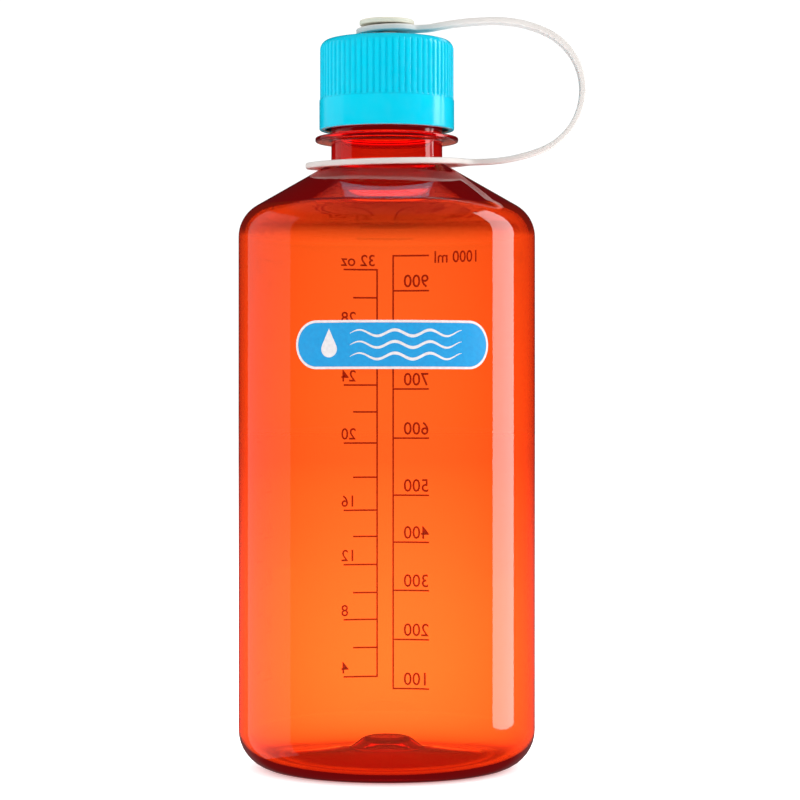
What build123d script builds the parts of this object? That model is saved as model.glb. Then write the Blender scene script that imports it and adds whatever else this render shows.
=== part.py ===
from build123d import *
import os
from math import asin, cos, degrees, hypot, radians, sin, tan

# A one-litre narrow-mouth bottle with a tethered screw cap.
# Millimetres. +Z is up, the origin is the centre of the ring that the bottle stands on, and
# the strap's carrying loop points to +X.

# ---- driving dimensions: bottle body ----
BODY_R = 46.0
BODY_WALL = 1.6
SHOULDER_Z = 170.9          # height at which the side and the shoulder cone would meet
SHOULDER_SLOPE = 30.0       # degrees from the horizontal
SHOULDER_CORNER_R = 11.0
THICKEN_R = 40.0            # from this radius up the shoulder the wall grows to NECK_WALL
THICKEN_BEND_R = 20.0
BASE_WALL = 2.8
BASE_CORNER_R = 12.0
FOOT_INNER_R = 30.0         # inner edge of the ring that touches the table
FOOT_EDGE_R = 2.0
DOME_R = 10.5               # where the raised base meets its centre hub
DOME_Z = 3.6
HUB_R = 6.0
HUB_Z = 6.9
HUB_EDGE_R = 1.0

# ---- driving dimensions: neck ----
NECK_R = 17.25
NECK_WALL = 3.0
NECK_LENGTH = 35.8          # from the shoulder cone to the rim
NECK_ROOT_R = 1.0
RIM_EDGE_R = 0.5
FLANGE_R = 22.2
FLANGE_THICK = 1.5
FLANGE_TOP = 8.3            # above the neck root
FLANGE_DROOP = 0.35         # the flange's edge is this much lower than its root

# ---- driving dimensions: thread ----
THREAD_PITCH = 25.4 / 6     # six turns to the inch
THREAD_TURNS = 1.5
THREAD_DEPTH = 1.35
THREAD_ROOT_W = 2.4
THREAD_CREST_W = 1.0
THREAD_CLEAR = 0.35         # between a crest and the wall that it faces
THREAD_SINK = 0.3           # how far a thread's root runs into its own wall
THREAD_START = 14.2         # first turn's middle, below the rim

# ---- driving dimensions: cap ----
CAP_WALL = 1.8
CAP_TOP_WALL = 2.0
CAP_EDGE_R = 3.0
CAP_FLANGE_GAP = 1.9
CAP_RIM_GAP = 0.4
BAND_HEIGHT = 9.3          # the smooth band below the ribs
BAND_PROUD = 0.2
BAND_EDGE_R = 0.6
RIB_COUNT = 66
GROOVE_R = 0.45
GROOVE_DEPTH = 0.35
GROOVE_TOP_GAP = 2.2        # plain height above the grooves
SEAL_WALL = 1.1
SEAL_LENGTH = 3.0
SEAL_CLEAR = 0.15
BOSS_R = 6.5
BOSS_HEIGHT = 1.7
SOCKET_WALL = 1.9
SOCKET_FLOOR = 1.2

# ---- driving dimensions: strap ----
STRAP_THICK = 1.8
STRAP_WIDTH = 6.5
RING_WIDTH = 3.8
RING_CLEAR = 4.5            # around the neck
RING_SHIFT = 0.3            # the loop pulls the loose ring this far towards +X
RING_PITCH = 1.4            # degrees by which the ring rises towards the loop
RING_ROLL = 2.6             # degrees by which the ring rises towards +Y
RING_SEAT_GAP = 0.25        # above the shoulder
RING_TAB = 4.0              # flat stretch beyond the ring
TAB_FILLET_R = 4.0
EYELET_R = 9.5
EYELET_TAB = 3.0
EYELET_TILT = 3.0           # degrees by which the loop lifts the eyelet's near side
EYELET_FILLET_R = 2.5
LOOP_REACH = 60.85          # middle of the strap at its furthest from the bottle's axis
LOOP_TOP_X = 34.0
LOOP_TOP_RISE = 2.9         # loop's top above the eyelet's middle
LOOP_SPLIT_RISE = 23.25     # furthest point above the ring's middle
LOOP_LOW_HEADING = 20.9     # slope where the two lower bends meet
LOOP_HIGH_HEADING = 25.8    # slope where the two upper bends meet
RAMP_BEND_R = 10.0
RAMP_HEADING = 11.0         # slope of the strap between the eyelet and the loop's top
SPLIT_GAP = 0.3

# ---- driving dimensions: button ----
HEAD_R = 8.5
HEAD_EDGE = 1.5
HEAD_CROWN = 0.5
STEM_R = 3.0
STEM_LENGTH = 8.0
STEM_CLEAR = 0.2
EYELET_CLEAR = 0.4          # eyelet's hole around the stem
STEM_TIP = 0.6
BEAD_PROUD = 0.35
BEAD_WIDTH = 1.2
BEAD_UP = 1.4               # bead's middle above the stem's tip
STACK_GAP = 0.2             # between boss, eyelet and button head

# ---- derived heights and radii ----
NECK_ROOT_Z = SHOULDER_Z + (BODY_R - NECK_R) * tan(radians(SHOULDER_SLOPE))
RIM_Z = NECK_ROOT_Z + NECK_LENGTH
FLANGE_TOP_Z = NECK_ROOT_Z + FLANGE_TOP
BORE_R = NECK_R - NECK_WALL

CAP_BOTTOM_Z = FLANGE_TOP_Z + CAP_FLANGE_GAP
CAP_CEILING_Z = RIM_Z + CAP_RIM_GAP
CAP_TOP_Z = CAP_CEILING_Z + CAP_TOP_WALL
CAP_BORE_R = NECK_R + THREAD_DEPTH + THREAD_CLEAR
CAP_R = CAP_BORE_R + CAP_WALL
BAND_TOP_Z = CAP_BOTTOM_Z + BAND_HEIGHT
BOSS_Z = CAP_TOP_Z + BOSS_HEIGHT

RING_HOLE_R = NECK_R + RING_CLEAR
RING_DROP = hypot(
    RING_HOLE_R * sin(radians(RING_PITCH)) + RING_SHIFT * tan(radians(SHOULDER_SLOPE)),
    RING_HOLE_R * sin(radians(RING_ROLL)),
)
RING_SEAT_Z = NECK_ROOT_Z - RING_CLEAR * tan(radians(SHOULDER_SLOPE)) + RING_SEAT_GAP
RING_Z = RING_SEAT_Z + RING_DROP + STRAP_THICK / 2
EYELET_Z = BOSS_Z + STACK_GAP + BOSS_R * tan(radians(EYELET_TILT)) + STRAP_THICK / 2
SPLIT_Z = RING_Z + LOOP_SPLIT_RISE
HEAD_Z = EYELET_Z + STRAP_THICK / 2 + HEAD_R * tan(radians(EYELET_TILT)) + STACK_GAP
STEM_TIP_Z = HEAD_Z - STEM_LENGTH
SOCKET_R = STEM_R + STEM_CLEAR
SOCKET_Z = STEM_TIP_Z - STEM_CLEAR
BEAD_Z = STEM_TIP_Z + BEAD_UP

SECTION = Plane.XZ          # half-sections are drawn with r to the right and z up


def turned(*corners, radii=0.0):
    """A solid of revolution about Z from a closed half-section with rounded corners."""
    outline = FilletPolyline(*corners, radius=radii, close=True)
    return revolve(SECTION * make_face(outline), Axis.Z)


def crossing(start, along, other, other_along):
    """The point where two lines in the section plane meet."""
    across = along.X * other_along.Y - along.Y * other_along.X
    to_other = other - start
    reach = (to_other.X * other_along.Y - to_other.Y * other_along.X) / across
    return start + along * reach


def inset(corners, walls):
    """An open outline moved to its left; walls gives each side's thickness at its start and end."""
    sides = []
    for start, end, (start_wall, end_wall) in zip(corners, corners[1:], walls):
        along = (end - start).normalized()
        left = Vector(-along.Y, along.X)
        inner_start = start + left * start_wall
        inner_end = end + left * end_wall
        sides.append((inner_start, (inner_end - inner_start).normalized()))
    moved = [Vector(corners[0].X, sides[0][0].Y)]
    for (start, along), (other, other_along) in zip(sides, sides[1:]):
        moved.append(crossing(start, along, other, other_along))
    moved.append(Vector(sides[-1][0].X, corners[-1].Y))
    return moved


# ---- bottle body ----
def bottle_shell():
    """Base, side, shoulder and neck as one thin wall, turned from its half-section."""
    outside = [
        Vector(0, HUB_Z),
        Vector(HUB_R, HUB_Z),
        Vector(DOME_R, DOME_Z),
        Vector(FOOT_INNER_R, 0),
        Vector(BODY_R, 0),
        Vector(BODY_R, SHOULDER_Z),
        Vector(NECK_R, NECK_ROOT_Z),
        Vector(NECK_R, RIM_Z),
    ]
    thicken_z = SHOULDER_Z + (BODY_R - THICKEN_R) * tan(radians(SHOULDER_SLOPE))
    marked = outside[:6] + [Vector(THICKEN_R, thicken_z)] + outside[6:]
    base = (BASE_WALL, BASE_WALL)
    side = (BODY_WALL, BODY_WALL)
    shoulder = (BODY_WALL, NECK_WALL)
    neck = (NECK_WALL, NECK_WALL)
    inside = inset(marked, [base, base, base, base, side, side, shoulder, neck])
    outer_radii = [HUB_EDGE_R, HUB_EDGE_R, FOOT_EDGE_R, BASE_CORNER_R, SHOULDER_CORNER_R, NECK_ROOT_R]
    inner_radii = [
        HUB_EDGE_R + BASE_WALL,
        HUB_EDGE_R,
        FOOT_EDGE_R + BASE_WALL,
        BASE_CORNER_R - BASE_WALL,
        SHOULDER_CORNER_R - BODY_WALL,
        THICKEN_BEND_R,
        NECK_ROOT_R + NECK_WALL,
    ]
    wall = FilletPolyline(*outside, radius=outer_radii)
    cavity = FilletPolyline(*inside, radius=inner_radii)
    rim = Polyline(outside[-1], inside[-1])
    axis = Polyline(outside[0], inside[0])
    section = make_face(wall.edges() + cavity.edges() + rim.edges() + axis.edges())
    shell = revolve(SECTION * section, Axis.Z)
    rim_edges = shell.edges().filter_by(GeomType.CIRCLE).group_by(Axis.Z)[-1]
    return fillet(rim_edges, RIM_EDGE_R)


def neck_flange():
    """The transfer flange under the cap, its edge a little lower than its root."""
    root_r = NECK_R - THREAD_SINK
    edge_top = FLANGE_TOP_Z - FLANGE_DROOP
    return turned(
        (root_r, FLANGE_TOP_Z - FLANGE_THICK),
        (FLANGE_R, edge_top - FLANGE_THICK),
        (FLANGE_R, edge_top),
        (root_r, FLANGE_TOP_Z),
        radii=[0, FLANGE_THICK * 0.35, FLANGE_THICK * 0.35, 0],
    )


def thread(root_r, depth, first_z):
    """A right-hand helical ridge on a wall of root_r; a negative depth points inwards."""
    side = 1 if depth > 0 else -1
    sunk_r = root_r - side * THREAD_SINK
    path = Helix(THREAD_PITCH, THREAD_PITCH * THREAD_TURNS, root_r, center=(0, 0, first_z))
    ridge = Polyline(
        (sunk_r, first_z - THREAD_ROOT_W / 2),
        (root_r, first_z - THREAD_ROOT_W / 2),
        (root_r + depth, first_z - THREAD_CREST_W / 2),
        (root_r + depth, first_z + THREAD_CREST_W / 2),
        (root_r, first_z + THREAD_ROOT_W / 2),
        (sunk_r, first_z + THREAD_ROOT_W / 2),
        close=True,
    )
    return sweep(SECTION * make_face(ridge), path, is_frenet=True)


def bottle_body():
    first_z = RIM_Z - THREAD_START
    return bottle_shell() + neck_flange() + thread(NECK_R, THREAD_DEPTH, first_z)


# ---- screw cap ----
def cap_blank():
    """The cap's outside with its smooth band and boss, before it is hollowed."""
    skirt = turned(
        (0, CAP_BOTTOM_Z),
        (CAP_R + BAND_PROUD, CAP_BOTTOM_Z),
        (CAP_R + BAND_PROUD, BAND_TOP_Z),
        (CAP_R, BAND_TOP_Z),
        (CAP_R, CAP_TOP_Z),
        (0, CAP_TOP_Z),
        radii=[0, BAND_EDGE_R, BAND_PROUD / 2, 0, CAP_EDGE_R, 0],
    )
    boss = Pos(0, 0, CAP_TOP_Z) * Cylinder(BOSS_R, BOSS_HEIGHT, align=(Align.CENTER, Align.CENTER, Align.MIN))
    boss = fillet(boss.edges().group_by(Axis.Z)[-1], BOSS_HEIGHT * 0.4)
    return skirt + boss


def cap_grooves():
    """The narrow vertical grooves that leave fine ribs between them."""
    low = BAND_TOP_Z + GROOVE_R
    high = CAP_TOP_Z - GROOVE_TOP_GAP
    groove = Pos(CAP_R - GROOVE_DEPTH + GROOVE_R, 0, low) * Cylinder(
        GROOVE_R, high - low, align=(Align.CENTER, Align.CENTER, Align.MIN)
    )
    return [Rot(0, 0, turn * 360 / RIB_COUNT) * groove for turn in range(RIB_COUNT)]


def cap_hollow():
    """The space under the cap: the neck's room, around the seal ring and the stem socket."""
    seal_r = BORE_R - SEAL_CLEAR
    seal_z = CAP_CEILING_Z - SEAL_LENGTH
    socket_z = SOCKET_Z - SOCKET_FLOOR
    room = turned(
        (0, CAP_BOTTOM_Z - 1),
        (CAP_BORE_R, CAP_BOTTOM_Z - 1),
        (CAP_BORE_R, CAP_CEILING_Z),
        (0, CAP_CEILING_Z),
        radii=[0, 0, CAP_RIM_GAP, 0],
    )
    seal = turned(
        (seal_r - SEAL_WALL, seal_z),
        (seal_r, seal_z),
        (seal_r, CAP_CEILING_Z),
        (seal_r - SEAL_WALL, CAP_CEILING_Z),
        radii=[SEAL_WALL * 0.4, SEAL_WALL * 0.4, 0, 0],
    )
    socket_r = SOCKET_R + SOCKET_WALL
    socket = turned(
        (0, socket_z), (socket_r, socket_z), (socket_r, CAP_CEILING_Z), (0, CAP_CEILING_Z),
        radii=[0, SOCKET_WALL * 0.4, 0, 0],
    )
    return room - seal - socket


def stem_hole():
    """The blind hole for the button's stem, with a groove that the stem's bead snaps into."""
    bead_r = SOCKET_R + BEAD_PROUD
    bead_half = BEAD_WIDTH / 2 + STEM_CLEAR
    return turned(
        (0, SOCKET_Z),
        (SOCKET_R, SOCKET_Z),
        (SOCKET_R, BEAD_Z - bead_half - BEAD_PROUD),
        (bead_r, BEAD_Z - bead_half),
        (bead_r, BEAD_Z + bead_half),
        (SOCKET_R, BEAD_Z + bead_half + BEAD_PROUD),
        (SOCKET_R, BOSS_Z + 1),
        (0, BOSS_Z + 1),
    )


def screw_cap():
    first_z = RIM_Z - THREAD_START - THREAD_PITCH / 2
    blank = cap_blank() - cap_grooves()
    shell = blank - cap_hollow() - stem_hole()
    return shell + thread(CAP_BORE_R, -THREAD_DEPTH, first_z)


# ---- swivel button ----
def swivel_button():
    """A domed head on a stem that snaps into the cap, turned in one piece."""
    bead_r = STEM_R + BEAD_PROUD
    bead_half = BEAD_WIDTH / 2
    head_top = HEAD_Z + HEAD_EDGE
    stem = Polyline(
        (0, STEM_TIP_Z),
        (STEM_R - STEM_TIP, STEM_TIP_Z),
        (STEM_R, BEAD_Z - bead_half),
        (bead_r, BEAD_Z - bead_half + BEAD_PROUD),
        (bead_r, BEAD_Z + bead_half - BEAD_PROUD),
        (STEM_R, BEAD_Z + bead_half),
        (STEM_R, HEAD_Z),
        (HEAD_R - HEAD_EDGE / 2, HEAD_Z),
    )
    flat_r = HEAD_R - HEAD_EDGE / 2
    crown_r = (flat_r ** 2 + HEAD_CROWN ** 2) / (2 * HEAD_CROWN)
    crown_turn = degrees(asin(flat_r / crown_r))
    edge = ThreePointArc((flat_r, HEAD_Z), (HEAD_R, HEAD_Z + HEAD_EDGE / 2), (flat_r, head_top))
    crown = JernArc((0, head_top + HEAD_CROWN), (1, 0), crown_r, -crown_turn)
    axis = Line((0, head_top + HEAD_CROWN), (0, STEM_TIP_Z))
    section = make_face(stem.edges() + edge.edges() + crown.edges() + axis.edges())
    return revolve(SECTION * section, Axis.Z)


# ---- retention strap ----
def straight_step(heading):
    return Vector(cos(radians(heading)), sin(radians(heading)))


def bend_step(before, after):
    """Where an arc of unit radius ends that turns from one heading to another, in degrees."""
    side = 1 if after > before else -1
    return Vector(
        sin(radians(after)) - sin(radians(before)),
        cos(radians(before)) - cos(radians(after)),
    ) * side


def two_lengths(first, second, total):
    """How much of each of two directions adds up to total."""
    across = first.X * second.Y - first.Y * second.X
    return (
        (total.X * second.Y - total.Y * second.X) / across,
        (first.X * total.Y - first.Y * total.X) / across,
    )


def band(start, heading, steps):
    """A flat strap along steps: (length, None) goes straight, (radius, heading) bends to a heading."""
    point = Vector(start)
    path = []
    for size, after in steps:
        if after is None:
            path.append(Line(point, point + straight_step(heading) * size))
        else:
            path.append(JernArc(point, straight_step(heading), size, after - heading))
            heading = after
        point = path[-1] @ 1
    ribbon = SECTION * trace(path, STRAP_THICK)
    return extrude(ribbon, STRAP_WIDTH / 2, both=True)


def plate(radius, hole_r, tab, fillet_r):
    """A flat ring with a tab to +X, centred on the origin; its two inner corners are rounded."""
    reach = radius + tab
    outline = Circle(radius) + Pos(reach / 2, 0) * Rectangle(reach, STRAP_WIDTH)
    corners = outline.vertices().filter_by_position(Axis.X, 0, radius)
    outline = fillet(corners, fillet_r) - Circle(hole_r)
    return extrude(outline, STRAP_THICK / 2, both=True)


def strap_lower():
    """The neck ring and the lower half of the carrying loop."""
    ring_r = RING_HOLE_R + RING_WIDTH
    ring = plate(ring_r, RING_HOLE_R, RING_TAB, TAB_FILLET_R)
    ring = Pos(RING_SHIFT, 0, RING_Z) * Rot(0, -RING_PITCH, 0) * Rot(RING_ROLL, 0, 0) * ring
    root = Vector(RING_SHIFT, RING_Z) + straight_step(RING_PITCH) * (ring_r - RING_WIDTH / 2)
    run = RING_TAB + RING_WIDTH / 2
    total = Vector(LOOP_REACH, SPLIT_Z - SPLIT_GAP / 2) - root - straight_step(RING_PITCH) * run
    wide, tight = two_lengths(
        bend_step(RING_PITCH, LOOP_LOW_HEADING),
        bend_step(LOOP_LOW_HEADING, 90),
        total,
    )
    return ring + band(root, RING_PITCH, [(run, None), (wide, LOOP_LOW_HEADING), (tight, 90)])


def strap_upper():
    """The eyelet on the cap and the upper half of the carrying loop."""
    eyelet = plate(EYELET_R, STEM_R + EYELET_CLEAR, EYELET_TAB, EYELET_FILLET_R)
    eyelet = Pos(0, 0, EYELET_Z) * Rot(0, -EYELET_TILT, 0) * eyelet
    root = Vector(0, EYELET_Z) + straight_step(EYELET_TILT) * (EYELET_R + EYELET_TAB)
    crest_point = Vector(LOOP_TOP_X, EYELET_Z + LOOP_TOP_RISE)
    ramp, crest = two_lengths(
        straight_step(RAMP_HEADING),
        bend_step(RAMP_HEADING, 0),
        crest_point - root - bend_step(EYELET_TILT, RAMP_HEADING) * RAMP_BEND_R,
    )
    split_point = Vector(LOOP_REACH, SPLIT_Z + SPLIT_GAP / 2)
    high, outer = two_lengths(
        bend_step(0, -LOOP_HIGH_HEADING),
        bend_step(-LOOP_HIGH_HEADING, -90),
        split_point - crest_point,
    )
    steps = [
        (RAMP_BEND_R, RAMP_HEADING),
        (ramp, None),
        (crest, 0),
        (high, -LOOP_HIGH_HEADING),
        (outer, -90),
    ]
    return eyelet + band(root, EYELET_TILT, steps)


# ---- the sub-parts ----
nodes = {
    "bottle_body": bottle_body(),
    "screw_cap": screw_cap(),
    "swivel_button": swivel_button(),
    "strap_neck_ring": strap_lower(),
    "strap_cap_loop": strap_upper(),
}

os.makedirs("parts", exist_ok=True)
for name, shape in nodes.items():
    shape.label = name
    export_step(shape, f"parts/{name}.step")
    size = shape.bounding_box()
    print(name, round(shape.volume, 1), size.min, size.max)
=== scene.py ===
from math import atan2, cos, pi, radians, sin, sqrt, tan

import bmesh
import bpy
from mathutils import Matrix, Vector
from mathutils.geometry import delaunay_2d_cdt


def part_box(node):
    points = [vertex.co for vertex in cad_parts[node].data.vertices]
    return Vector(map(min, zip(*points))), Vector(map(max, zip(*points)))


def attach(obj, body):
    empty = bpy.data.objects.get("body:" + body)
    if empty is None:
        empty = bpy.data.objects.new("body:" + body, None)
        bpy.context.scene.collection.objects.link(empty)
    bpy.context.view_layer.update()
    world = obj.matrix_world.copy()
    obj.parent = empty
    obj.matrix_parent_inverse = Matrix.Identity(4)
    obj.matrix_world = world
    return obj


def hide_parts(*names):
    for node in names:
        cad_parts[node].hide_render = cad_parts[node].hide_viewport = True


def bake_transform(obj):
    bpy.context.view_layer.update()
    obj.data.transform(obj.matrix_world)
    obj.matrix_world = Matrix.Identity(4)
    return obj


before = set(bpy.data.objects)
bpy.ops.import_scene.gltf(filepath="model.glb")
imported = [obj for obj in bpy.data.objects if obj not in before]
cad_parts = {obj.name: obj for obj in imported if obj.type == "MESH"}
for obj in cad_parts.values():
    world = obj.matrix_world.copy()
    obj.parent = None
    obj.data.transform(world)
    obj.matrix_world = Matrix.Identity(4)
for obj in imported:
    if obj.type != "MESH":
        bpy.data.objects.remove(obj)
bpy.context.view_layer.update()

MM = 0.001


def size_of(node):
    """The lowest and highest corner of a node's box."""
    low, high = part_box(node)
    return Vector(low), Vector(high)


# ---- places read from the frame ----
body_high = size_of("bottle_body")[1]
cap_low, cap_high = size_of("screw_cap")
button_low, button_high = size_of("swivel_button")
ring_high = size_of("strap_neck_ring")[1]
loop_low, loop_high = size_of("strap_cap_loop")

BODY_R = body_high.x
RIM_Z = body_high.z
BAND_R = cap_high.x
CAP_BOTTOM_Z = cap_low.z
BOSS_Z = cap_high.z
HEAD_R = button_high.x
BUTTON_TOP_Z = button_high.z
STEM_TIP_Z = button_low.z

# ---- bottle details ----
BODY_WALL = 1.6 * MM
BASE_WALL = 2.8 * MM
SHOULDER_Z = 170.9 * MM
SHOULDER_SLOPE = radians(30)
SHOULDER_CORNER_R = 11 * MM
THICKEN_R = 40 * MM
THICKEN_BEND_R = 20 * MM
BASE_CORNER_R = 12 * MM
FOOT_INNER_R = 30 * MM
FOOT_EDGE_R = 2 * MM
DOME_R = 10.5 * MM
DOME_Z = 3.6 * MM
HUB_R = 6 * MM
HUB_Z = 6.9 * MM
HUB_EDGE_R = 1 * MM
NECK_R = 17.25 * MM
NECK_WALL = 3 * MM
NECK_ROOT_R = 1 * MM
RIM_EDGE_R = 0.5 * MM
FLANGE_R = 22.2 * MM
FLANGE_THICK = 1.5 * MM
FLANGE_DROOP = 0.35 * MM
FLANGE_ROOT_R = 0.6 * MM
FLANGE_TOP_Z = CAP_BOTTOM_Z - 1.9 * MM
NECK_ROOT_Z = SHOULDER_Z + (BODY_R - NECK_R) * tan(SHOULDER_SLOPE)

# ---- thread ----
PITCH = 25.4 / 6 * MM
THREAD_TURNS = 1.5
THREAD_DEPTH = 1.35 * MM
THREAD_ROOT_W = 2.4 * MM
THREAD_CREST_W = 1.0 * MM
THREAD_FADE = 0.08
THREAD_START = 14.2 * MM
THREAD_CLEAR = 0.35 * MM

# ---- cap details ----
CAP_WALL = 1.8 * MM
CAP_BORE_R = NECK_R + THREAD_DEPTH + THREAD_CLEAR
CAP_R = CAP_BORE_R + CAP_WALL
CEILING_Z = RIM_Z + 0.4 * MM
CAP_TOP_Z = CEILING_Z + 2 * MM
CAP_EDGE_R = 3 * MM
BAND_TOP_Z = CAP_BOTTOM_Z + 9.3 * MM
RIB_COUNT = 66
GROOVE_HALF_W = 0.55 * MM
GROOVE_DEPTH = 0.6 * MM
GROOVE_GAP = 0.1 * MM
GROOVE_FADE = 0.9 * MM
BOSS_R = 6.5 * MM
SOCKET_R = 3.2 * MM
SOCKET_WALL = 1.9 * MM
SOCKET_FLOOR = 1.2 * MM
STEM_END_GAP = 0.2 * MM
SEAL_R = NECK_R - NECK_WALL - 0.15 * MM
SEAL_WALL = 1.1 * MM
SEAL_LENGTH = 3 * MM

# ---- button details ----
HEAD_EDGE = 1.5 * MM
HEAD_CROWN = 0.5 * MM
HEAD_Z = BUTTON_TOP_Z - HEAD_EDGE - HEAD_CROWN
STEM_R = 3 * MM
STEM_CHAMFER = 0.6 * MM
BEAD_UP = 1.4 * MM
BEAD_HALF_W = 0.6 * MM
BEAD_PROUD = 0.35 * MM
CROWN_STEPS = 12

# ---- strap details ----
STRAP_THICK = 1.8 * MM
STRAP_WIDTH = 6.5 * MM
RING_HOLE_R = 21.75 * MM
RING_R = 25.55 * MM
RING_SHIFT = 0.3 * MM
RING_PITCH = radians(1.4)
RING_ROLL = radians(2.6)
RING_TAB = 4 * MM
TAB_FILLET_R = 4 * MM
EYELET_R = 9.5 * MM
EYELET_HOLE_R = 3.4 * MM
EYELET_TAB = 3 * MM
EYELET_TILT = radians(3)
EYELET_FILLET_R = 2.5 * MM
LOOP_REACH = loop_high.x - STRAP_THICK / 2
LOOP_TOP_X = 34 * MM
LOOP_TOP_Z = loop_high.z - STRAP_THICK / 2
EYELET_Z = LOOP_TOP_Z - 2.9 * MM
SPLIT_Z = (ring_high.z + loop_low.z) / 2
RING_Z = SPLIT_Z - 23.25 * MM
LOOP_LOW_HEADING = radians(20.9)
LOOP_HIGH_HEADING = radians(25.8)
RAMP_BEND_R = 10 * MM
RAMP_HEADING = radians(11)

# ---- mesh fineness ----
ARC_STEPS = 10
SUPPORT = 0.3 * MM
BODY_TURNS = 256
CAP_TURNS = RIB_COUNT * 10
SMALL_TURNS = 96
THREAD_STEP = 0.3 * MM


# ---- outlines in the half-plane of radius and height ----
def spun(vector, angle):
    return Vector((
        vector.x * cos(angle) - vector.y * sin(angle),
        vector.x * sin(angle) + vector.y * cos(angle),
    ))


def arc_points(before, corner, after, radius):
    """The arc of a given radius that rounds the corner between two neighbours."""
    back = (before - corner).normalized()
    on = (after - corner).normalized()
    half = back.angle(on) / 2
    centre = corner + (back + on).normalized() * (radius / sin(half))
    start = corner + back * (radius / tan(half)) - centre
    end = corner + on * (radius / tan(half)) - centre
    side = 1 if start.x * end.y > start.y * end.x else -1
    sweep = side * (pi - 2 * half)
    return [centre + spun(start, sweep * k / ARC_STEPS) for k in range(ARC_STEPS + 1)]


def run_points(start, end, step):
    """Points inside a straight run: one beside each end, and more every step if it is set."""
    length = (end - start).length
    if length < 4 * SUPPORT:
        return []
    count = max(1, round(length / step)) if step else 1
    marks = [SUPPORT] + [length * k / count for k in range(1, count)] + [length - SUPPORT]
    return [start.lerp(end, mark / length) for mark in marks]


def outline(corners):
    """Points along an outline.

    A corner is (r, z, rounding) and may add the step of the run before it.
    """
    places = [Vector(corner[:2]) for corner in corners]
    last = len(corners) - 1
    rounded = []
    for k, corner in enumerate(corners):
        if corner[2] == 0 or k in (0, last):
            rounded.append([places[k]])
        else:
            rounded.append(arc_points(places[k - 1], places[k], places[k + 1], corner[2]))
    points = rounded[0][:]
    for corner, before, after in zip(corners[1:], rounded, rounded[1:]):
        step = corner[3] if len(corner) > 3 else None
        points += run_points(before[-1], after[0], step) + after
    return points


def crossing(start, along, other, other_along):
    """Where two lines meet, each given by a point and a direction."""
    across = along.x * other_along.y - along.y * other_along.x
    gap = other - start
    return start + along * ((gap.x * other_along.y - gap.y * other_along.x) / across)


def inset(places, walls):
    """An open line of places moved to its left; walls gives each side's wall at both ends."""
    sides = []
    for start, end, (start_wall, end_wall) in zip(places, places[1:], walls):
        along = (end - start).normalized()
        left = Vector((-along.y, along.x))
        inner_start = start + left * start_wall
        inner_end = end + left * end_wall
        sides.append((inner_start, (inner_end - inner_start).normalized()))
    moved = [Vector((places[0].x, sides[0][0].y))]
    for (start, along), (other, other_along) in zip(sides, sides[1:]):
        moved.append(crossing(start, along, other, other_along))
    moved.append(Vector((sides[-1][0].x, places[-1].y)))
    return moved


# ---- meshes ----
def finished(name, mesh, material):
    """An object from a bmesh, with outward normals and smooth faces."""
    bmesh.ops.recalc_face_normals(mesh, faces=mesh.faces)
    for face in mesh.faces:
        face.smooth = True
    data = bpy.data.meshes.new(name)
    mesh.to_mesh(data)
    mesh.free()
    data.materials.append(material)
    piece = bpy.data.objects.new(name, data)
    bpy.context.scene.collection.objects.link(piece)
    return piece


def turned(points, turns, pushed=None):
    """A bmesh turned about Z; pushed(r, z, angle) may give a point another radius."""
    mesh = bmesh.new()
    rings = []
    for r, z in points:
        if r < 0.001 * MM:
            rings.append([mesh.verts.new((0, 0, z))])
            continue
        ring = []
        for k in range(turns):
            angle = 2 * pi * k / turns
            out = pushed(r, z, angle) if pushed else r
            ring.append(mesh.verts.new((out * cos(angle), out * sin(angle), z)))
        rings.append(ring)
    for low, high in zip(rings, rings[1:]):
        for k in range(turns):
            near = (low[k % len(low)], low[(k + 1) % len(low)])
            far = (high[(k + 1) % len(high)], high[k % len(high)])
            mesh.faces.new(list(dict.fromkeys(near + far)))
    return mesh


def step_up(value):
    """Rises smoothly from 0 to 1 as the value does."""
    value = min(1, max(0, value))
    return value * value * (3 - 2 * value)


def ridge(z, angle, first_z):
    """How far a thread's ridge stands out, from 0 to 1, at a height and angle on its wall."""
    height = 0
    for extra in range(int(THREAD_TURNS) + 1):
        turn = angle / (2 * pi) + extra
        away = abs(z - first_z - PITCH * turn)
        flank = (THREAD_ROOT_W / 2 - away) / (THREAD_ROOT_W / 2 - THREAD_CREST_W / 2)
        fade = min(turn, THREAD_TURNS - turn) / THREAD_FADE
        height = max(height, step_up(flank) * step_up(fade))
    return height


# ---- materials ----
def new_material(name, **values):
    """A Principled material with the given sockets set, its node tree and its shader."""
    material = bpy.data.materials.new(name)
    material.use_nodes = True
    shader = material.node_tree.nodes["Principled BSDF"]
    for socket, value in values.items():
        shader.inputs[socket.replace("_", " ")].default_value = value
    return material, material.node_tree, shader


def noise(tree, scale, detail=3.0, stretch=(1, 1, 1)):
    """Noise in object space, its scale in cycles per metre."""
    nodes, links = tree.nodes, tree.links
    place = nodes.new("ShaderNodeTexCoord")
    mapping = nodes.new("ShaderNodeMapping")
    mapping.inputs["Scale"].default_value = stretch
    texture = nodes.new("ShaderNodeTexNoise")
    texture.inputs["Scale"].default_value = scale
    texture.inputs["Detail"].default_value = detail
    links.new(place.outputs["Object"], mapping.inputs["Vector"])
    links.new(mapping.outputs["Vector"], texture.inputs["Vector"])
    return texture.outputs["Fac"]


def spread(tree, source, low, high):
    """A 0 to 1 value spread over another range."""
    node = tree.nodes.new("ShaderNodeMapRange")
    node.inputs["From Min"].default_value = 0.3
    node.inputs["From Max"].default_value = 0.7
    node.inputs["To Min"].default_value = low
    node.inputs["To Max"].default_value = high
    tree.links.new(source, node.inputs["Value"])
    return node.outputs["Result"]


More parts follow.
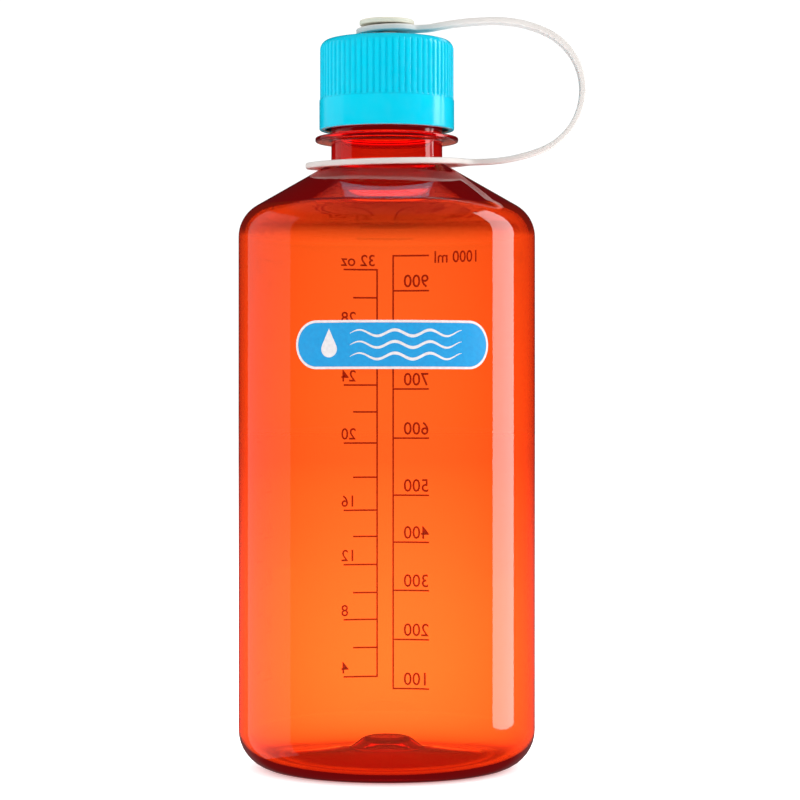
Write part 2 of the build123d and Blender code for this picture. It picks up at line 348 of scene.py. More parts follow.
def tinted(tree, source, first, second):
    """A colour between two, by a 0 to 1 value."""
    node = tree.nodes.new("ShaderNodeMix")
    node.data_type = "RGBA"
    node.inputs["A"].default_value = (*first, 1)
    node.inputs["B"].default_value = (*second, 1)
    tree.links.new(source, node.inputs["Factor"])
    return node.outputs["Result"]


def bump(tree, shader, source, strength, distance):
    node = tree.nodes.new("ShaderNodeBump")
    node.inputs["Strength"].default_value = strength
    node.inputs["Distance"].default_value = distance
    tree.links.new(source, node.inputs["Height"])
    tree.links.new(node.outputs["Normal"], shader.inputs["Normal"])


TINT = (0.985, 0.62, 0.22, 1)
TINT_DENSITY = 1700
WALL_GLOW = (1, 0.01, 0.03, 1)
WALL_GLOW_STRENGTH = 0.03


def clear_plastic():
    """Tinted copolyester: smooth, clear, and darker the further light goes through it.

    The faint glow stands in for the red light that wanders inside the wall.
    """
    material, tree, shader = new_material(
        "clear_plastic", Base_Color=(1, 0.97, 0.95, 1), IOR=1.56, Transmission_Weight=1.0,
        Emission_Color=WALL_GLOW, Emission_Strength=WALL_GLOW_STRENGTH,
    )
    tree.links.new(spread(tree, noise(tree, 30), 0.0, 0.02), shader.inputs["Roughness"])
    bump(tree, shader, noise(tree, 45, detail=0.0, stretch=(1, 1, 0.35)), 0.05, 0.0002)
    absorb = tree.nodes.new("ShaderNodeVolumeAbsorption")
    absorb.inputs["Color"].default_value = TINT
    absorb.inputs["Density"].default_value = TINT_DENSITY
    output = tree.nodes["Material Output"]
    tree.links.new(absorb.outputs["Volume"], output.inputs["Volume"])
    return material


GLOSS_SPREAD = 0.06
SOFT_DEPTH = 0.6 * MM


def moulded_plastic(name, colour, shade, rough, soft):
    """Opaque moulded plastic with a slight grain, uneven gloss and a little depth."""
    material, tree, shader = new_material(
        name, IOR=1.5, Subsurface_Weight=soft, Subsurface_Radius=(1, 1, 1),
        Subsurface_Scale=SOFT_DEPTH,
    )
    cloudy = spread(tree, noise(tree, 60), 0, 1)
    tree.links.new(tinted(tree, cloudy, colour, shade), shader.inputs["Base Color"])
    uneven = spread(tree, noise(tree, 400), rough - GLOSS_SPREAD, rough + GLOSS_SPREAD)
    tree.links.new(uneven, shader.inputs["Roughness"])
    bump(tree, shader, noise(tree, 900, detail=0.0), 0.03, 0.00002)
    return material


def ink(name, colour, shade, alpha=1.0):
    """Screen-printed ink with uneven cover."""
    material, tree, shader = new_material(name, IOR=1.45, Alpha=alpha)
    patchy = spread(tree, noise(tree, 900), 0, 1)
    tree.links.new(tinted(tree, patchy, colour, shade), shader.inputs["Base Color"])
    tree.links.new(spread(tree, noise(tree, 500), 0.35, 0.55), shader.inputs["Roughness"])
    return material


CLEAR = clear_plastic()
CYAN = moulded_plastic("cap_plastic", (0.0, 0.60, 0.80), (0.0, 0.57, 0.78), 0.16, 0.05)
IVORY = moulded_plastic("button_plastic", (0.80, 0.79, 0.66), (0.74, 0.72, 0.58), 0.42, 0.15)
PALE = moulded_plastic("strap_plastic", (0.74, 0.73, 0.70), (0.68, 0.66, 0.63), 0.45, 0.2)
SCALE_INK = ink("scale_ink", (0.30, 0.004, 0.002), (0.34, 0.006, 0.003), alpha=0.92)
WHITE_INK = ink("badge_white", (0.72, 0.71, 0.72), (0.62, 0.61, 0.63))
BLUE_INK = ink("badge_blue", (0.0, 0.31, 0.66), (0.0, 0.27, 0.61))


# ---- bottle body ----
def bottle_outline():
    """Outside up to the rim, then the inside back down to the axis."""
    outside = [
        Vector((0, HUB_Z)),
        Vector((HUB_R, HUB_Z)),
        Vector((DOME_R, DOME_Z)),
        Vector((FOOT_INNER_R, 0)),
        Vector((BODY_R, 0)),
        Vector((BODY_R, SHOULDER_Z)),
        Vector((NECK_R, NECK_ROOT_Z)),
        Vector((NECK_R, RIM_Z)),
    ]
    base = (BASE_WALL, BASE_WALL)
    side = (BODY_WALL, BODY_WALL)
    shoulder = (BODY_WALL, NECK_WALL)
    neck = (NECK_WALL, NECK_WALL)
    thicken_z = SHOULDER_Z + (BODY_R - THICKEN_R) * tan(SHOULDER_SLOPE)
    marked = outside[:6] + [Vector((THICKEN_R, thicken_z))] + outside[6:]
    outer_radii = [
        0,
        HUB_EDGE_R,
        HUB_EDGE_R,
        FOOT_EDGE_R,
        BASE_CORNER_R,
        SHOULDER_CORNER_R,
        NECK_ROOT_R,
    ]
    inner_radii = [
        0,
        HUB_EDGE_R + BASE_WALL,
        HUB_EDGE_R,
        FOOT_EDGE_R + BASE_WALL,
        BASE_CORNER_R - BASE_WALL,
        SHOULDER_CORNER_R - BODY_WALL,
        THICKEN_BEND_R,
        NECK_ROOT_R + NECK_WALL,
    ]
    inside = inset(marked, [base, base, base, base, side, side, shoulder, neck])
    edge_top = FLANGE_TOP_Z - FLANGE_DROOP
    edge_r = FLANGE_THICK * 0.35
    up = [(*place, radius) for place, radius in zip(outside, outer_radii)]
    flange = [
        (NECK_R, FLANGE_TOP_Z - FLANGE_THICK, FLANGE_ROOT_R),
        (FLANGE_R, edge_top - FLANGE_THICK, edge_r),
        (FLANGE_R, edge_top, edge_r),
        (NECK_R, FLANGE_TOP_Z, FLANGE_ROOT_R),
    ]
    rim = [
        (NECK_R, RIM_Z - THREAD_START - THREAD_ROOT_W, 0),
        (NECK_R, RIM_Z, RIM_EDGE_R, THREAD_STEP),
        (inside[-1].x, RIM_Z, RIM_EDGE_R),
    ]
    down = [(*place, radius) for place, radius in zip(inside, inner_radii)]
    return outline(up + flange + rim + down[::-1])


def bottle_radius(r, z, angle):
    """The thread stands out from the neck's outer wall."""
    if abs(r - NECK_R) > 0.01 * MM or z < FLANGE_TOP_Z:
        return r
    return r + THREAD_DEPTH * ridge(z, angle, RIM_Z - THREAD_START)


def make_bottle():
    mesh = turned(bottle_outline(), BODY_TURNS, bottle_radius)
    piece = finished("bottle_shell", mesh, CLEAR)
    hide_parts("bottle_body")
    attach(piece, "bottle")


# ---- screw cap ----
def cap_outline():
    """From the floor of the stem's hole over the outside, up the inside to the socket's end."""
    hole_z = STEM_TIP_Z - STEM_END_GAP
    socket_r = SOCKET_R + SOCKET_WALL
    socket_z = hole_z - SOCKET_FLOOR
    seal_z = CEILING_Z - SEAL_LENGTH
    thread_low = RIM_Z - THREAD_START - PITCH / 2 - THREAD_ROOT_W
    thread_high = thread_low + PITCH * THREAD_TURNS + 2 * THREAD_ROOT_W
    return outline([
        (0, hole_z, 0),
        (SOCKET_R, hole_z, 0.3 * MM),
        (SOCKET_R, BOSS_Z, 0.3 * MM),
        (BOSS_R, BOSS_Z, 0.6 * MM),
        (BOSS_R, CAP_TOP_Z, 0.4 * MM),
        (CAP_R, CAP_TOP_Z, CAP_EDGE_R),
        (CAP_R, BAND_TOP_Z, 0.1 * MM, 0.4 * MM),
        (BAND_R, BAND_TOP_Z, 0.09 * MM),
        (BAND_R, CAP_BOTTOM_Z, 0.5 * MM),
        (CAP_BORE_R, CAP_BOTTOM_Z, 0.5 * MM),
        (CAP_BORE_R, thread_low, 0),
        (CAP_BORE_R, thread_high, 0, THREAD_STEP),
        (CAP_BORE_R, CEILING_Z, 0.4 * MM),
        (SEAL_R, CEILING_Z, 0.3 * MM),
        (SEAL_R, seal_z, 0.4 * MM),
        (SEAL_R - SEAL_WALL, seal_z, 0.4 * MM),
        (SEAL_R - SEAL_WALL, CEILING_Z, 0.3 * MM),
        (socket_r, CEILING_Z, 0.3 * MM),
        (socket_r, socket_z, 0.7 * MM),
        (0, socket_z, 0),
    ])


def groove(angle):
    """The depth of the cap's grooves around its skirt."""
    place = angle * RIB_COUNT / (2 * pi) % 1 - 0.5
    away = abs(place) * 2 * pi * CAP_R / RIB_COUNT
    return GROOVE_DEPTH * step_up(1 - away / GROOVE_HALF_W)


def cap_radius(r, z, angle):
    """Grooves cut into the skirt above the band, and the thread inside."""
    if abs(r - CAP_BORE_R) < 0.01 * MM and z < CEILING_Z - 1 * MM:
        return r - THREAD_DEPTH * ridge(z, angle, RIM_Z - THREAD_START - PITCH / 2)
    if r > CAP_R - CAP_EDGE_R and z > BAND_TOP_Z:
        cut = groove(angle) * step_up((z - BAND_TOP_Z - GROOVE_GAP) / GROOVE_FADE)
        return min(r, CAP_R - cut)
    return r


def make_cap():
    mesh = turned(cap_outline(), CAP_TURNS, cap_radius)
    piece = finished("ribbed_cap", mesh, CYAN)
    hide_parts("screw_cap")
    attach(piece, "cap")


# ---- swivel button ----
def button_outline():
    crown_r = (HEAD_R ** 2 + HEAD_CROWN ** 2) / (2 * HEAD_CROWN)
    bead_z = STEM_TIP_Z + BEAD_UP
    top = [
        (r, BUTTON_TOP_Z - crown_r + sqrt(crown_r ** 2 - r ** 2), 0)
        for r in (HEAD_R * k / CROWN_STEPS for k in range(1, CROWN_STEPS))
    ]
    stem = [
        (0, STEM_TIP_Z, 0),
        (STEM_R - STEM_CHAMFER, STEM_TIP_Z, 0.3 * MM),
        (STEM_R, bead_z - BEAD_HALF_W, 0.1 * MM),
        (STEM_R + BEAD_PROUD, bead_z, 0.2 * MM),
        (STEM_R, bead_z + BEAD_HALF_W, 0.1 * MM),
        (STEM_R, HEAD_Z, 0.1 * MM),
        (HEAD_R, HEAD_Z, 0.45 * MM),
        (HEAD_R, HEAD_Z + HEAD_EDGE, 0.6 * MM),
    ]
    return outline(stem + top[::-1] + [(0, BUTTON_TOP_Z, 0)])


def make_button():
    piece = finished("button_rivet", turned(button_outline(), SMALL_TURNS), IVORY)
    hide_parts("swivel_button")
    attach(piece, "button")


# ---- retention strap ----
STRAP_GRID = 0.6 * MM
STRAP_EDGE_R = 0.45 * MM
STRAP_EDGE_STEPS = 4
OUTLINE_STEP = radians(3)


def heading_step(heading):
    """A unit step along a heading."""
    return Vector((cos(heading), sin(heading)))


def bend_step(before, after):
    """Where an arc of unit radius ends that turns from one heading to another."""
    side = 1 if after > before else -1
    return Vector((sin(after) - sin(before), cos(before) - cos(after))) * side


def two_lengths(first, second, total):
    """How much of each of two directions adds up to total."""
    across = first.x * second.y - first.y * second.x
    return (
        (total.x * second.y - total.y * second.x) / across,
        (first.x * total.y - first.y * total.x) / across,
    )


def strap_path():
    """Runs from the ring's middle round the loop to the eyelet's middle: (length, curvature)."""
    start = Vector((RING_SHIFT, RING_Z))
    ring_run = RING_R + RING_TAB
    eyelet_run = EYELET_R + EYELET_TAB
    side_point = Vector((LOOP_REACH, SPLIT_Z))
    wide, tight = two_lengths(
        bend_step(RING_PITCH, LOOP_LOW_HEADING),
        bend_step(LOOP_LOW_HEADING, pi / 2),
        side_point - start - heading_step(RING_PITCH) * ring_run,
    )
    crest_point = Vector((LOOP_TOP_X, LOOP_TOP_Z))
    eyelet_edge = Vector((0, EYELET_Z)) + heading_step(EYELET_TILT) * eyelet_run
    ramp, crest = two_lengths(
        heading_step(RAMP_HEADING),
        bend_step(RAMP_HEADING, 0),
        crest_point - eyelet_edge - bend_step(EYELET_TILT, RAMP_HEADING) * RAMP_BEND_R,
    )
    high, outer = two_lengths(
        bend_step(0, -LOOP_HIGH_HEADING),
        bend_step(-LOOP_HIGH_HEADING, -pi / 2),
        side_point - crest_point,
    )
    return start, [
        (ring_run, 0),
        (wide * (LOOP_LOW_HEADING - RING_PITCH), 1 / wide),
        (tight * (pi / 2 - LOOP_LOW_HEADING), 1 / tight),
        (outer * (pi / 2 - LOOP_HIGH_HEADING), 1 / outer),
        (high * LOOP_HIGH_HEADING, 1 / high),
        (crest * RAMP_HEADING, 1 / crest),
        (ramp, 0),
        (RAMP_BEND_R * (RAMP_HEADING - EYELET_TILT), -1 / RAMP_BEND_R),
        (eyelet_run, 0),
    ]


def strap_place(start, runs, along):
    """The point and heading at a length along the strap's middle, straight before its start."""
    point, heading = start.copy(), RING_PITCH
    if along < 0:
        return point + heading_step(heading) * along, heading
    for k, (length, curvature) in enumerate(runs):
        part = along if k == len(runs) - 1 else min(along, length)
        if curvature:
            after = heading + curvature * part
            point += Vector((sin(after) - sin(heading), cos(heading) - cos(after))) / curvature
            heading = after
        else:
            point += heading_step(heading) * part
        along -= part
        if along <= 0:
            break
    return point, heading


def strap_loop(total, inward):
    """The strap's flat outline, moved inward, from the ring round to the ring again."""
    half = STRAP_WIDTH / 2
    ring_x = sqrt((RING_R + TAB_FILLET_R) ** 2 - (half + TAB_FILLET_R) ** 2)
    ring_turn = atan2(half + TAB_FILLET_R, ring_x)
    eyelet_x = sqrt((EYELET_R + EYELET_FILLET_R) ** 2 - (half + EYELET_FILLET_R) ** 2)
    eyelet_turn = atan2(half + EYELET_FILLET_R, eyelet_x)
    far = total - eyelet_x

    def arc(centre, radius, first, last, step):
        count = max(2, round(abs(last - first) / step))
        turns = (first + (last - first) * k / count for k in range(count + 1))
        return [centre + Vector((cos(turn), sin(turn))) * radius for turn in turns]

    upper = arc(Vector((0, 0)), RING_R - inward, pi, ring_turn, OUTLINE_STEP)
    ring_fillet = arc(
        Vector((ring_x, half + TAB_FILLET_R)), TAB_FILLET_R + inward,
        pi + ring_turn, 1.5 * pi, 3 * OUTLINE_STEP,
    )
    count = round((far - ring_x) / STRAP_GRID)
    edge = [Vector((ring_x + (far - ring_x) * k / count, half - inward)) for k in range(1, count)]
    eyelet_fillet = arc(
        Vector((far, half + EYELET_FILLET_R)), EYELET_FILLET_R + inward,
        -pi / 2, -eyelet_turn, 3 * OUTLINE_STEP,
    )
    eyelet = arc(Vector((total, 0)), EYELET_R - inward, pi - eyelet_turn, 0, OUTLINE_STEP)
    upper += ring_fillet[1:] + edge + eyelet_fillet + eyelet[1:]
    lower = [Vector((point.x, -point.y)) for point in upper[-2:0:-1]]
    return upper + lower


def hole_loop(middle, radius, inward):
    """A hole's flat outline, moved into the strap around it."""
    count = round(2 * pi / OUTLINE_STEP)
    wider = radius + inward
    turns = (2 * pi * k / count for k in range(count))
    return [Vector((middle + wider * cos(turn), wider * sin(turn))) for turn in turns]


def inside_loop(point, loop):
    """Whether a flat point lies inside a closed loop."""
    hit = False
    for start, end in zip(loop, loop[1:] + loop[:1]):
        if (start.y > point.y) != (end.y > point.y):
            cross_x = start.x + (end.x - start.x) * (point.y - start.y) / (end.y - start.y)
            hit ^= point.x < cross_x
    return hit


def flat_faces(loops, total):
    """Points and triangles that fill the flat face between its outline and its two holes."""
    edge = loops[0]
    margin = STRAP_GRID * 0.6

    def in_face(point, gap):
        ring_away = point.length
        eyelet_away = (point - Vector((total, 0))).length
        if ring_away < loops[1][0].x + gap:
            return False
        if eyelet_away < loops[2][0].x - total + gap:
            return False
        if ring_away < RING_R - STRAP_EDGE_R - gap or eyelet_away < EYELET_R - STRAP_EDGE_R - gap:
            return True
        straight = RING_R + TAB_FILLET_R < point.x < total - EYELET_R - EYELET_FILLET_R
        if straight or gap > 0:
            return straight and abs(point.y) < STRAP_WIDTH / 2 - STRAP_EDGE_R - gap
        return inside_loop(point, edge)

    points = [point for loop in loops for point in loop]
    edges = []
    first = 0
    for loop in loops:
        edges += [(first + k, first + (k + 1) % len(loop)) for k in range(len(loop))]
        first += len(loop)
    rows = range(-int(RING_R / STRAP_GRID), int(RING_R / STRAP_GRID) + 1)
    columns = range(-int(RING_R / STRAP_GRID), int((total + EYELET_R) / STRAP_GRID) + 1)
    for column in columns:
        for row in rows:
            point = Vector((column * STRAP_GRID, row * STRAP_GRID))
            if in_face(point, margin):
                points.append(point)
    filled = delaunay_2d_cdt(points, edges, [], 0, STRAP_GRID * 1e-4)
    places, faces = filled[0], filled[2]
    kept = []
    for face in faces:
        middle = sum((places[k] for k in face), Vector((0, 0))) / 3
        if in_face(middle, 0):
            kept.append(face)
    return places, kept, filled[3]


def make_strap():
    """One band, from the ring round the loop to the eyelet."""
    start, runs = strap_path()
    total = sum(length for length, curvature in runs)
    roll_start = RING_R + RING_TAB
    roll_end = sum(length for length, curvature in runs[:3])

    def placed(flat, height):
        point, heading = strap_place(start, runs, flat.x)
        roll = RING_ROLL * (1 - step_up((flat.x - roll_start) / (roll_end - roll_start)))
        up = Vector((-sin(heading), 0, cos(heading)))
        side = Vector((0, 1, 0))
        across = side * cos(roll) + up * sin(roll)
        normal = up * cos(roll) - side * sin(roll)
        return Vector((point.x, 0, point.y)) + across * flat.y + normal * height

    mesh = bmesh.new()
    profile = []
    for k in range(STRAP_EDGE_STEPS + 1):
        turn = pi / 2 * k / STRAP_EDGE_STEPS
        inward = STRAP_EDGE_R * (1 - cos(turn))
        profile.append((inward, STRAP_THICK / 2 - STRAP_EDGE_R * (1 - sin(turn))))
    profile = [(inward, -height) for inward, height in profile[::-1]] + profile

    def loops_at(inward):
        return [
            strap_loop(total, inward),
            hole_loop(0, RING_HOLE_R, inward),
            hole_loop(total, EYELET_HOLE_R, inward),
        ]

    rings = []
    for inward, height in profile:
        ring = []
        for loop in loops_at(inward):
            ring.append([mesh.verts.new(placed(flat, height)) for flat in loop])
        rings.append(ring)
    for low, high in zip(rings, rings[1:]):
        for below, above in zip(low, high):
            for k in range(len(below)):
                after = (k + 1) % len(below)
                mesh.faces.new((below[k], below[after], above[after], above[k]))
    loops = loops_at(STRAP_EDGE_R)
    places, faces, origins = flat_faces(loops, total)
    count = sum(len(loop) for loop in loops)
    for ring, height in ((rings[0], -STRAP_THICK / 2), (rings[-1], STRAP_THICK / 2)):
        border = [vert for loop in ring for vert in loop]
        verts = []
        for place, origin in zip(places, origins):
            on_border = [k for k in origin if k < count]
            if on_border:
                verts.append(border[on_border[0]])
            else:
                verts.append(mesh.verts.new(placed(place, height)))
        for face in faces:
            mesh.faces.new([verts[k] for k in face])
    piece = finished("strap", mesh, PALE)
    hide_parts("strap_neck_ring", "strap_cap_loop")
    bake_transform(piece)


# ---- prints on the bottle ----
INK_LOW = 0.004 * MM
INK_HIGH = 0.03 * MM
BACK = pi / 2
FRONT = -pi / 2


def wrapped(across, up, height, middle):
    """A printed point on the side: across runs to the right as seen from outside."""
    angle = middle + across / BODY_R
    reach = BODY_R + height
    return (reach * cos(angle), reach * sin(angle), up)


def print_faces(mesh, points, faces, middle, over=False):
    """A thin raised print from flat points and faces, on the side or over another print."""
    lift = INK_HIGH if over else 0
    tops = [mesh.verts.new(wrapped(x, y, INK_HIGH + lift, middle)) for x, y in points]
    bottoms = [mesh.verts.new(wrapped(x, y, INK_LOW + lift, middle)) for x, y in points]
    borders = {}
    for face in faces:
        mesh.faces.new([tops[k] for k in face])
        mesh.faces.new([bottoms[k] for k in reversed(face)])
        for start, end in zip(face, face[1:] + face[:1]):
            borders[(start, end)] = (end, start) not in borders
            if (end, start) in borders:
                borders[(end, start)] = False
    for (start, end), open_edge in borders.items():
        if open_edge:
            mesh.faces.new((tops[end], tops[start], bottoms[start], bottoms[end]))


def print_bar(mesh, left, right, low, high, middle):
    """A printed rectangle, split across so that it follows the round side."""
    count = max(1, round((right - left) / (1 * MM)))
    points = []
    for k in range(count + 1):
        across = left + (right - left) * k / count
        points += [(across, low), (across, high)]
    faces = [[2 * k, 2 * k + 2, 2 * k + 3, 2 * k + 1] for k in range(count)]
    print_faces(mesh, points, faces, middle)


def print_text(mesh, text, left, low, size, middle, align="LEFT"):
    """Printed digits, their lower corner at left (or lower right corner for RIGHT)."""
    curve = bpy.data.curves.new("digits", "FONT")
    curve.body = text
    curve.size = size
    curve.align_x = align
    curve.offset = DIGIT_SPREAD
    curve.resolution_u = 3
    writer = bpy.data.objects.new("digits", curve)
    flat = bpy.data.meshes.new_from_object(writer)
    points = [(left + vert.co.x, low + vert.co.y) for vert in flat.vertices]
    faces = [list(face.vertices) for face in flat.polygons]
    print_faces(mesh, points, faces, middle)
    bpy.data.objects.remove(writer)
    bpy.data.curves.remove(curve)
    bpy.data.meshes.remove(flat)


def finished_print(name, mesh, material):
    """A flat-faced print that moves with the bottle."""
    piece = finished(name, mesh, material)
    for face in piece.data.polygons:
        face.use_smooth = False
    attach(piece, "bottle")


SCALE_LINE = 0.55 * MM
DIGIT_SIZE = 5.3 * MM
ML_DIGIT_SIZE = 5.9 * MM
DIGIT_GAP = 1.2 * MM
DIGIT_SPREAD = 0.05 * MM
ML_X = -1.9 * MM
ML_END = -14.2 * MM
ML_MARKS = [19.4, 35.5, 51.6, 67.4, 82.8, 101.5, 117.6, 133.7, 149.8, 161.3]
OZ_X = 3.5 * MM
OZ_MAJOR_END = 15 * MM
OZ_MINOR_END = 11.7 * MM
OZ_DIGIT_X = OZ_MAJOR_END + 0.9 * MM
OZ_MARKS = [
    23.4, 32.9, 42.1, 50.9, 60.1, 69.3, 77.9, 88.7, 99.9, 110.1, 118.9, 128.4, 138.0, 147.5, 156.7,
]
TOP_LABEL_SIZE = 5.4 * MM
TOP_LABEL_GAP = 1.6 * MM
TOP_LABEL_DROP = 2.4 * MM


def make_scale():
    """Millilitres on the left and fluid ounces on the right, read from behind the bottle."""
    mesh = bmesh.new()
    half = SCALE_LINE / 2
    ml_low, ml_top = ML_MARKS[0] * MM, ML_MARKS[-1] * MM
    oz_low, oz_top = OZ_MARKS[0] * MM, OZ_MARKS[-1] * MM
    print_bar(mesh, ML_X - half, ML_X + half, ml_low - half, ml_top + half, BACK)
    print_bar(mesh, OZ_X - half, OZ_X + half, oz_low - half, oz_top + half, BACK)
    for k, mark in enumerate(ML_MARKS):
        z = mark * MM
        print_bar(mesh, ML_END, ML_X - half, z - half, z + half, BACK)
        if mark != ML_MARKS[-1]:
            print_text(mesh, str(100 * (k + 1)), ML_END, z + DIGIT_GAP, ML_DIGIT_SIZE, BACK)
    label_x, label_z = ML_END - TOP_LABEL_GAP, ml_top - TOP_LABEL_DROP
    print_text(mesh, "1000 ml", label_x, label_z, TOP_LABEL_SIZE, BACK, align="RIGHT")
    for k, mark in enumerate(OZ_MARKS):
        z = mark * MM
        major = k % 2 == 0
        end = OZ_MAJOR_END if major else OZ_MINOR_END
        print_bar(mesh, OZ_X + half, end, z - half, z + half, BACK)
        if major:
            text = str(4 + 2 * k) + (" oz" if mark == OZ_MARKS[-1] else "")
            print_text(mesh, text, OZ_DIGIT_X, z + DIGIT_GAP, DIGIT_SIZE, BACK, align="RIGHT")
    finished_print("scale_print", mesh, SCALE_INK)


BADGE_X = 2.3 * MM
BADGE_Z = 130.3 * MM
BADGE_WIDTH = 61.5 * MM
BADGE_HEIGHT = 14.4 * MM
BADGE_LINE = 0.7 * MM
FIELD_INSET = 0.74 * MM
PILL_STEPS = 32
EDGE_STEPS = 44
WAVES_X = BADGE_X - 13 * MM
WAVES_LENGTH = 34 * MM
WAVES_GAP = 3.4 * MM
WAVE_POINTS = 60
WAVE_STEP = 10.5 * MM
WAVE_RISE = 0.9 * MM
WAVE_HALF_W = 0.45 * MM
DROP_R = 2.5 * MM
DROP_STEPS = 24
DROP_X = BADGE_X - 19.5 * MM
DROP_Z = BADGE_Z - DROP_R * 0.5


def pill(inward):
    """The badge's round-ended outline, moved inward."""
    radius = BADGE_HEIGHT / 2 - inward
    reach = BADGE_WIDTH / 2 - BADGE_HEIGHT / 2
    ends = []
    for side in (1, -1):
        turns = (side * pi * (k / PILL_STEPS - 0.5) for k in range(PILL_STEPS + 1))
        ends.append([(side * (reach + radius * cos(turn)), radius * sin(turn)) for turn in turns])
    steps = [reach * (1 - 2 * k / EDGE_STEPS) for k in range(1, EDGE_STEPS)]
    right, left = ends
    return right + [(x, radius) for x in steps] + left + [(-x, -radius) for x in steps]


def ladder(first, last):
    """Faces between rungs, where each rung is a low and a high point."""
    return [[2 * k, 2 * k + 2, 2 * k + 3, 2 * k + 1] for k in range(first, last)]


def print_outline(mesh):
    outer, inner = pill(0), pill(BADGE_LINE)
    count = len(outer)
    points = [(x + BADGE_X, z + BADGE_Z) for x, z in outer + inner]
    faces = [[k, (k + 1) % count, (k + 1) % count + count, k + count] for k in range(count)]
    print_faces(mesh, points, faces, FRONT)


def print_field(mesh):
    columns = sorted({round(x, 7) for x, z in pill(FIELD_INSET)})
    edge_r = BADGE_HEIGHT / 2 - FIELD_INSET
    reach = BADGE_WIDTH / 2 - BADGE_HEIGHT / 2
    points = []
    for x in columns:
        past = max(0, abs(x) - reach)
        half = sqrt(max(0, edge_r ** 2 - past ** 2))
        points += [(x + BADGE_X, BADGE_Z - half), (x + BADGE_X, BADGE_Z + half)]
    print_faces(mesh, points, ladder(1, len(columns) - 2), FRONT)


def print_wave(mesh, row):
    points = []
    for k in range(WAVE_POINTS + 1):
        x = WAVES_X + WAVES_LENGTH * k / WAVE_POINTS
        z = BADGE_Z + row * WAVES_GAP + WAVE_RISE * sin(2 * pi * x / WAVE_STEP)
        half = WAVE_HALF_W * sqrt(max(0.02, sin(pi * k / WAVE_POINTS)))
        points += [(x, z - half), (x, z + half)]
    print_faces(mesh, points, ladder(0, WAVE_POINTS), FRONT, over=True)


def print_drop(mesh):
    edge = [(DROP_X, BADGE_Z + DROP_R * 1.9)]
    for k in range(DROP_STEPS + 1):
        turn = radians(30) - radians(240) * k / DROP_STEPS
        edge.append((DROP_X + DROP_R * cos(turn), DROP_Z + DROP_R * sin(turn)))
    count = len(edge)
    faces = [[k, count, (k + 1) % count] for k in range(count)]
    print_faces(mesh, edge + [(DROP_X, DROP_Z)], faces, FRONT, over=True)


def make_badge():
    """A plain round-ended badge: a white outline, a blue field, waves and a drop."""
    white = bmesh.new()
    blue = bmesh.new()
    print_outline(white)
    print_field(blue)
    for row in (-1, 0, 1):
        print_wave(white, row)
    print_drop(white)
    finished_print("badge_outline", white, WHITE_INK)
    finished_print("badge_field", blue, BLUE_INK)


# ---- camera, light and floor ----
CAMERA_DISTANCE = 813 * MM
CAMERA_X = 4.1 * MM
CAMERA_Z = 114 * MM
CAMERA_LENS = 117.7


def make_camera():
    data = bpy.data.cameras.new("camera")
    data.lens = CAMERA_LENS
    data.sensor_width = 36
    data.clip_start = 0.01
    camera = bpy.data.objects.new("camera", data)
    camera.location = (CAMERA_X, -CAMERA_DISTANCE, CAMERA_Z)
    camera.rotation_euler = (pi / 2, 0, 0)
    bpy.context.scene.collection.objects.link(camera)
    bpy.context.scene.camera = camera


def area_light(name, place, aim, width, tall, radiance):
    """A rectangular panel aimed at a point; radiance is its brightness."""
    data = bpy.data.lights.new(name, "AREA")
    data.shape = "RECTANGLE"
    data.size = width
    data.size_y = tall
    data.energy = radiance * pi * width * tall
    light = bpy.data.objects.new(name, data)
    light.location = place
    light.rotation_euler = (aim - place).to_track_quat("-Z", "Y").to_euler()
    light.visible_camera = False
    light.visible_transmission = False
    bpy.context.scene.collection.objects.link(light)
    return light


def softbox(name, azimuth, distance, height, width, tall, radiance):
    """An upright panel facing the bottle, its azimuth in degrees from +X towards +Y."""
    angle = radians(azimuth)
    place = Vector((distance * cos(angle), distance * sin(angle), height))
    area_light(name, place, Vector((0, 0, height)), width, tall, radiance)


def make_lights():
    """A tall strip on the right, a dim wide panel on the left, and a soft light overhead."""
    softbox(
        "right_strip",
        azimuth=10, distance=0.9, height=0.463, width=0.41, tall=1.115, radiance=3.9,
    )
    softbox(
        "left_panel",
        azimuth=165, distance=0.8, height=0.10, width=0.85, tall=1.3, radiance=0.4,
    )
    place, aim = Vector((0, 0.3, 1.2)), Vector((0, 0, 0.2))
    overhead = area_light("top_light", place, aim, width=0.5, tall=0.5, radiance=3.0)
    overhead.visible_glossy = False


def mapped(tree, source, stops):
    """A brightness that follows a value from stop to stop."""
    first, last = stops[0][0], stops[-1][0]
    place_node = tree.nodes.new("ShaderNodeMapRange")
    place_node.inputs["From Min"].default_value = first
    place_node.inputs["From Max"].default_value = last
    tree.links.new(source, place_node.inputs["Value"])
    ramp = tree.nodes.new("ShaderNodeValToRGB")
    while len(ramp.color_ramp.elements) < len(stops):
        ramp.color_ramp.elements.new(0.5)
    peak = max(value for place, value in stops)
    for element, (place, value) in zip(ramp.color_ramp.elements, stops):
        element.position = (place - first) / (last - first)
        level = value / peak
        element.color = (level, level, level, 1)
    tree.links.new(place_node.outputs["Result"], ramp.inputs["Fac"])
    gain = tree.nodes.new("ShaderNodeMath")
    gain.operation = "MULTIPLY"
    gain.inputs[1].default_value = peak
    tree.links.new(ramp.outputs["Color"], gain.inputs[0])
    return gain.outputs["Value"]


def chosen(tree, switch, off, on):
    """One of two values, by a 0 or 1 switch."""
    node = tree.nodes.new("ShaderNodeMix")
    for socket, value in (("A", off), ("B", on)):
        if isinstance(value, float):
            node.inputs[socket].default_value = value
        else:
            tree.links.new(value, node.inputs[socket])
    tree.links.new(switch, node.inputs["Factor"])
    return node.outputs["Result"]


SEEN_BACKDROP = 1.1
FILL = 0.75
